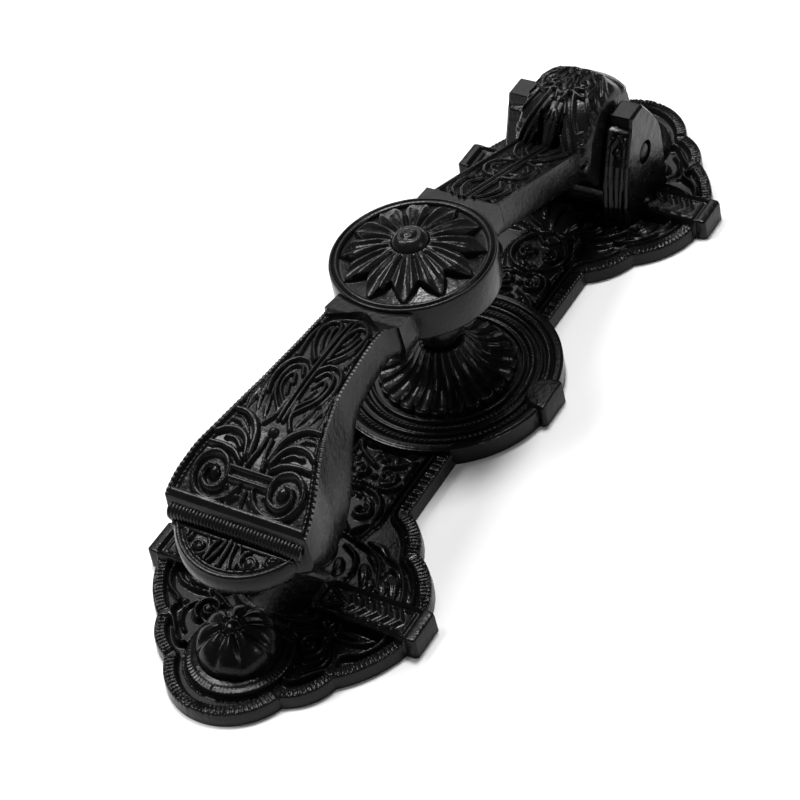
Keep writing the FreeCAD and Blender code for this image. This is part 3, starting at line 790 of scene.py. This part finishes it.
def medallion_height(radius, angle):
    """The flower with twelve pointed, hollowed petals in a low dish, with a rough knob in its middle."""
    petals = 12
    phase = ((angle - PETAL_TURN) * petals / (2 * PI)) % 1 - 0.5
    point = np.abs(phase) * 2
    reach = 9.7 + 4.25 * np.clip(1 - point, 0, 1) ** 0.9
    body = np.interp(radius, [3.6, 5.5, 8, 10.6, 13.9], [40, 39.9, 39.5, 38.9, 37.5])
    width = step(radius, 4, 7)
    brims = 0.48 * bell((point - 0.5) / 0.24) * (0.35 + 0.65 * width)
    hollow = -0.32 * bell(point / 0.32) * step(radius, 4.6, 6)
    valley = -0.55 * bell((1 - point) * radius / 1.3) * step(radius, 3.9, 4.8)
    flower = body + brims + hollow + valley
    dish = np.interp(radius, [8.5, 10.5, 13.6, 14.2], [37.9, 37.2, 36.5, 36.4]) + 0 * angle
    inside = 1 - step(radius, reach - 0.1, reach + 0.25)
    z = dish + (np.maximum(flower, dish) - dish) * inside
    rim = np.interp(
        radius,
        [14, 14.3, 14.7, 15, 15.2, 15.35, 15.55, 15.8, 16, MEDALLION_RADIUS],
        [36.4, 37.2, 37.35, 37.2, 36.7, 36.7, 37.15, 37.2, 37, 36.5],
    )
    z = np.where(radius > 14, rim, z)
    knob = 39.6 + 2.5 * np.clip(1 - (radius / KNOB_RADIUS) ** 2.6, 0, 1) ** 0.6
    uneven = 0.05 * np.cos(3 * angle + 2 * radius) * (radius > 0.4)
    knob = knob - 0.3 * bell((radius - 1.6) / 0.4) + uneven
    return np.where(radius < KNOB_RADIUS, np.maximum(knob, 39.4), z)


def shank_relief(x, y, wide):
    """A sunk panel with two pairs of leaves on a middle stem."""
    across = np.abs(x)
    margin = wide - across
    sunk = -0.65 * step(margin, 0.9, 1.25) * step(y - 0.3 * across, 14.6, 15.3)
    cords = smooth([
        ([(1, 28.2), (3.4, 28.9), (5, 32), (4.4, 35.6), (1.6, 37.2)], 0.4, 0.8),
        ([(1.4, 30.4), (3.2, 31), (3.8, 33.2), (2.4, 35.4)], 0.34, 0.7),
        ([(1, 16.4), (2.8, 19.4), (3.4, 23), (2, 25.8)], 0.42, 0.8),
        ([(2.4, 15.6), (4.6, 19.2), (5.2, 23.6), (4.2, 26)], 0.38, 0.75),
        ([(1.2, 38.4), (3.4, 40.4), (5, 43.8), (5.3, 46.6)], 0.42, 0.8),
        ([(1.2, 41.8), (2.6, 43.6), (3.2, 46.4)], 0.36, 0.7),
        ([(0, 14), (3, 14.8), (5.4, 16.4)], 0.35, 0.6),
    ]) + [
        ([(0.55, 14.5), (0.55, 46)], 0.36, 0.7),
    ]
    leaves = [
        ([(1.6, 18), (2.4, 20.8), (2.1, 24)], 0.7, 0.7),
        ([(5.4, 27.6), (5.7, 31), (5.4, 35.4)], 0.45, 0.6),
        ([(2.6, 37.4), (4.4, 38.6), (5.8, 41.2)], 0.7, 0.75),
        ([(1.5, 39.8), (3.4, 42.6), (4.4, 46)], 0.7, 0.7),
        ([(4.4, 17.2), (5.8, 19.4), (6.1, 22.6)], 0.5, 0.65),
        ([(1.6, 29.2), (2.9, 30.2), (3.4, 32)], 0.5, 0.7),
    ]
    beads = [((3.3, 27.2), 0.7, 0.8), ((5.1, 26.8), 0.45, 0.6)]
    beads += [((2.9, 33), 0.6, 0.7), ((4.9, 39.4), 0.5, 0.6)]
    pattern = drawn(across, y, cords, leaves, beads, wider=1.2, higher=1.15)
    return np.where(sunk < 0, sunk + pattern * (margin > 1.1), sunk)


def shank_skin():
    """The shank from the far collar up to the knuckle."""
    places = np.arange(9.8, 54, 0.18)
    top = np.interp(places, [9.8, 15.4, 16.2, 30, 47, 54], [36.2, 35.8, 34.9, 30.1, 24, 21.6])
    low = np.interp(places, [9.8, 15.6, 16.4, 52, 54], [28.4, 27.4, 26.2, 13.3, 12.9])
    half = np.interp(places, [9.8, 15.5, 16.3, 54], [8.5, 8.5, 7.5, 7.5])
    return bar_skin(places, half, half * 0.93, top, low, shank_relief, 0.35)


def knuckle_relief(x, y, z):
    """Draped leaves over the crown: two wings, a narrow middle leaf and scrolls on the top."""
    turn = np.arctan2(z - CROWN_Z, CROWN_Y - y)
    along = CROWN_RADIUS * turn
    across = np.abs(x)
    on_crown = (turn > 0.1) & (turn < 2.6) & (np.hypot(y - CROWN_Y, z - CROWN_Z) > CROWN_RADIUS - 0.6)
    wing_path = [(6.6, 4.6), (6, 7.6), (5.3, 12), (4.8, 18), (4.4, 33)]
    slit_path = curve([(1.5, 3.4), (1.8, 8), (2.3, 12), (2.6, 15)])
    wing = ridge(across, along, wing_path, (1, 2.4, 3.3, 3.7, 3.9), 1.5)
    middle = ridge(across, along, [(0, 4), (0, 8), (0, 13), (0, 33)], (0.5, 1.1, 1.6, 2.6), 1.45)
    leaves = np.minimum(np.maximum(wing, middle), 1.05)
    slit = ridge(across, along, slit_path, (0.75, 0.5, 0.15), 1.5)
    strands = smooth([
        ([(0.7, 29), (1.9, 22.5), (3.7, 16.5), (5.9, 11), (7.2, 6)], (0.3, 0.55, 0.45), 0.65),
        ([(2.5, 29), (4.1, 23), (6.2, 18), (8.1, 14.6)], (0.3, 0.5, 0.4), 0.6),
        ([(0.5, 21), (2, 16.5), (3.8, 11.8), (5.2, 8), (6, 5.4)], (0.3, 0.5, 0.35), 0.55),
        ([(0.4, 15.6), (1.4, 13), (2.9, 9.6), (4.2, 7.2)], (0.3, 0.4, 0.3), 0.5),
        ([(4.6, 29.5), (6, 26), (7.8, 22.6)], (0.3, 0.5), 0.5),
        ([(0, 26), (0, 16), (0, 5)], (0.3, 0.4, 0.3), 0.45),
        ([(0.4, 27.4), (2.6, 28.4), (5.4, 27.4), (7.4, 24.4)], 0.42, 0.6),
        ([(0.4, 19.6), (2, 20.4), (4.4, 19.6), (6.6, 20.8), (7.8, 19)], 0.45, 0.75),
        ([(0.3, 31), (1.5, 27.5), (0.5, 24.5), (1.5, 21.5), (0.6, 18)], 0.4, 0.7),
        ([(3, 31), (4.9, 28.6), (4, 25.8), (5.8, 23.6), (5.4, 20.6), (7.2, 17.6)], 0.42, 0.75),
    ]) + [
        (scroll((7.2, 10.8), 1.4, 0.6, 90, 1.3, 28), 0.42, 0.6),
        (scroll((3.6, 22.8), 1.5, 0.45, -120, 1.3, 28), 0.45, 0.75),
    ]
    beads = [((0, 19.4), 0.8, 0.7), ((1.6, 26.6), 0.6, 0.6)]
    beads += [((6.9, 17.2), 0.5, 0.5), ((7.2, 10.8), 0.6, 0.7)]
    veins = drawn(across, along, strands, bosses=beads)
    fade = 1 - 0.75 * step(along, 27, 31)
    return np.where(on_crown, (leaves + 1.2 * veins * (leaves > 0.6) - slit) * fade - 0.95, 0)


def knuckle_skin():
    """The barrel-shaped knuckle that turns on the pin."""

    def arc(centre_y, centre_z, radius, start, end, count):
        turns = np.linspace(start, end, count)
        return [(centre_y + radius * math.cos(t), centre_z + radius * math.sin(t)) for t in turns]

    front = math.atan2(20.9 - CROWN_Z, 45.2 - CROWN_Y)
    back = math.atan2(28.2 - CROWN_Z, 68.8 - CROWN_Y)
    crown = arc(CROWN_Y, CROWN_Z, CROWN_RADIUS, front, back, 80)
    heel = arc(PIVOT_Y, PIVOT_Z, HEEL_RADIUS, 0, -2.6, 60)
    profile, normals = resampled([*heel, (48.4, 15), (45.8, 18.4), *crown], 0.2)
    spread = np.ones(31) / 31
    wrapped = np.concatenate([normals[-15:], normals, normals[:15]])
    normals = np.stack([np.convolve(wrapped[:, k], spread, "valid") for k in (0, 1)], -1)
    high = profile[:, 1] > 17
    lean = step(profile[:, 1], 12, 22)

    def relief(x, y, z):
        barrel = -2.4 * (np.abs(x) / KNUCKLE_HALF) ** 2.4 * lean
        return barrel + np.where(high, knuckle_relief(x, y, z), 0)

    places = np.concatenate([[-8.48, -8.38], np.arange(-8.2, 8.21, 0.2), [8.38, 8.48]])
    bevels = np.interp(np.abs(places), [8.2, 8.48], [0, 0.45])
    left = [(-KNUCKLE_HALF, share, 2.3) for share in (0, 0.7)]
    right = [(KNUCKLE_HALF, share, 2.3) for share in (0.7, 0)]
    return slab(profile, normals, list(zip(places, bevels)), relief, (left, right))


# ---- paint

PAINT_IOR, SHEEN = 1.3, 0.42


def paint(name, base, roughness, pit, shift_by):
    """Black gloss paint over a rough casting: varied tone, varied gloss, and a pitted, grainy skin."""
    material = bpy.data.materials.new(name)
    material.use_nodes = True
    nodes, links = material.node_tree.nodes, material.node_tree.links
    shader = nodes["Principled BSDF"]
    place = nodes.new("ShaderNodeTexCoord")
    shift = nodes.new("ShaderNodeMapping")
    shift.inputs["Location"].default_value = (shift_by, shift_by * 0.37, -shift_by)
    links.new(place.outputs["Object"], shift.inputs["Vector"])

    def noise(scale, detail):
        node = nodes.new("ShaderNodeTexNoise")
        node.inputs["Scale"].default_value = scale
        node.inputs["Detail"].default_value = detail
        node.inputs["Roughness"].default_value = 0.55
        links.new(shift.outputs["Vector"], node.inputs["Vector"])
        return node.outputs["Fac"]

    tones = nodes.new("ShaderNodeValToRGB")
    dark, light = tones.color_ramp.elements
    dark.position, light.position = 0.3, 0.75
    dark.color = (base * 0.7, base * 0.68, base * 0.72, 1)
    light.color = (base * 1.5, base * 1.45, base * 1.5, 1)
    links.new(noise(90, 5), tones.inputs["Fac"])
    links.new(tones.outputs["Color"], shader.inputs["Base Color"])
    gloss = nodes.new("ShaderNodeMapRange")
    sockets = {"From Min": 0.3, "From Max": 0.7, "To Min": roughness - 0.06, "To Max": roughness + 0.1}
    for socket, number in sockets.items():
        gloss.inputs[socket].default_value = number
    links.new(noise(260, 4), gloss.inputs["Value"])
    links.new(gloss.outputs["Result"], shader.inputs["Roughness"])
    shader.inputs["IOR"].default_value = PAINT_IOR
    shader.inputs["Specular IOR Level"].default_value = SHEEN

    def bump(scale, detail, strength, distance):
        node = nodes.new("ShaderNodeBump")
        node.inputs["Strength"].default_value = strength
        node.inputs["Distance"].default_value = distance
        links.new(noise(scale, detail), node.inputs["Height"])
        return node

    pits = bump(900, 3, pit, 0.00022)
    grain = bump(2600, 2, pit * 0.6, 0.00012)
    links.new(pits.outputs["Normal"], grain.inputs["Normal"])
    links.new(grain.outputs["Normal"], shader.inputs["Normal"])
    return material


plate_paint = paint("plate_black_paint", base=0.0035, roughness=0.21, pit=0.42, shift_by=0.0)
arm_paint = paint("arm_black_paint", base=0.0045, roughness=0.22, pit=0.4, shift_by=0.4)
pin_paint = paint("pin_black_paint", base=0.0045, roughness=0.32, pit=0.6, shift_by=0.8)
stud_paint = paint("stud_black_paint", base=0.0045, roughness=0.24, pit=0.4, shift_by=1.2)

# ---- pieces

# Points round each carved circle.
DISC_AROUND, ROSETTE_AROUND, MEDALLION_AROUND = 1008, 288, 720

disc_radii = np.concatenate([np.linspace(0.05, 3.8, 6), np.arange(4, DISC_RADIUS, 0.15), [DISC_RADIUS]])
disc_base = [(22.92, DISC_FLOOR), (22.92, 1.2)]
rosette_radii = [np.linspace(0.05, 1.49, 9), np.arange(1.55, 7.5, 0.15), [7.6, 7.7, 7.78, ROSETTE_RADIUS]]
rosette_radii = np.concatenate(rosette_radii)
rosette_base = [(ROSETTE_RADIUS, 2.1), (3.2, 2.1), (3.2, 8.5)]
backplate_shells = [
    plate_skin(),
    round_relief((0, 0), disc_radii, DISC_AROUND, disc_height, disc_base),
    *[
        round_relief((0, side * ROSETTE_Y), rosette_radii, ROSETTE_AROUND, rosette_height, rosette_base)
        for side in (1, -1)
    ],
    *ear_skins(),
]
build("backplate_casting", backplate_shells, "backplate", "plate", plate_paint)

pin_profile = [(0.6, -PIN_HALF), (1.5, -PIN_HALF + 0.08), (PIN_RADIUS, -PIN_HALF + 0.4)]
pin_profile += [(radius, -place) for radius, place in reversed(pin_profile)]
pin_shell = turned(pin_profile, "X", (0, PIVOT_Y, PIVOT_Z))
build("hinge_pin_bar", [pin_shell], "hinge_pin", "plate", pin_paint)

medallion_radii = [np.linspace(0.05, 3.74, 22), np.arange(3.8, MEDALLION_RADIUS, 0.14), [MEDALLION_RADIUS]]
medallion_radii = np.concatenate(medallion_radii)
medallion_base = [(MEDALLION_RADIUS, 30), (15.9, 29.5), (15.5, 29.25)]
arm_shells = [
    handle_skin(),
    *roll_skins(),
    tongue_skin(),
    round_relief((0, MEDALLION_Y), medallion_radii, MEDALLION_AROUND, medallion_height, medallion_base),
    shank_skin(),
    knuckle_skin(),
]
build("knocker_arm_casting", arm_shells, "knocker_arm", "arm", arm_paint)

stud_profile = [(3, 12.32), (3.4, 12.5), (4, 13.2), (4.33, 14.2), (4.4, 15.3), (4.25, 16.4), (3.8, 17.5)]
stud_profile += [(3.6, 18.4), (3.6, 29.1)]
stud_shell = turned(stud_profile, "Z", (0, 0, 0), 96)
build("striker_stud_turned", [stud_shell], "striker_stud", "arm", stud_paint)

# ---- stage, light and camera


pale = bpy.data.materials.new("pale_ground")
pale.use_nodes = True
pale_shader = pale.node_tree.nodes["Principled BSDF"]
pale_shader.inputs["Base Color"].default_value = (0.77, 0.77, 0.77, 1)
pale_shader.inputs["Roughness"].default_value = 0.9
pale_shader.inputs["Specular IOR Level"].default_value = 0.1

bpy.ops.mesh.primitive_plane_add(size=8, location=(0, 0, -0.0001))
ground = bpy.context.object
ground.name = "ground"
ground.data.materials.append(pale)


def soft_light(name, place, size, power):
    """A square soft box that faces the middle of the plate."""
    light = bpy.data.lights.new(name, "AREA")
    light.shape, light.size, light.energy = "SQUARE", size, power
    lamp = bpy.data.objects.new(name, light)
    lamp.location = place
    lamp.rotation_mode = "QUATERNION"
    lamp.rotation_quaternion = (Vector((0, 0, 0.01)) - Vector(place)).to_track_quat("-Z", "Y")
    bpy.context.scene.collection.objects.link(lamp)


soft_light("top_box", (-0.15, 0.3, 1.2), 0.28, 15)
soft_light("key_box", (-0.56, -0.1, 0.98), 0.38, 10.5)
soft_light("back_box", (-0.55, 0.68, 0.83), 0.66, 3.4)
soft_light("right_box", (1.0, 0.1, 0.6), 0.3, 2)

world = bpy.data.worlds.new("studio")
world.use_nodes = True
world.node_tree.nodes["Background"].inputs["Color"].default_value = (1, 1, 1, 1)
world.node_tree.nodes["Background"].inputs["Strength"].default_value = 0.09
bpy.context.scene.world = world
bpy.context.scene.view_settings.view_transform = "Standard"

AZIMUTH, ELEVATION, ROLL = math.radians(39.003), math.radians(43.361), math.radians(12.517)
DISTANCE, LENS, SENSOR = 0.466779, 106.31, 36.0
AIM = Vector((-0.007025, -0.008042, 0))
level_reach = math.cos(ELEVATION)
back = Vector((math.sin(AZIMUTH) * level_reach, -math.cos(AZIMUTH) * level_reach, math.sin(ELEVATION)))
level = Vector((math.cos(AZIMUTH), math.sin(AZIMUTH), 0))
upright = back.cross(level)
camera_right = level * math.cos(ROLL) - upright * math.sin(ROLL)
camera_up = level * math.sin(ROLL) + upright * math.cos(ROLL)
camera_data = bpy.data.cameras.new("camera")
camera_data.lens, camera_data.sensor_width = LENS, SENSOR
camera_data.clip_start, camera_data.clip_end = 0.01, 20
camera = bpy.data.objects.new("camera", camera_data)
turn = Matrix((camera_right, camera_up, back)).transposed()
camera.matrix_world = Matrix.Translation(AIM + back * DISTANCE) @ turn.to_4x4()
bpy.context.scene.collection.objects.link(camera)
bpy.context.scene.camera = camera
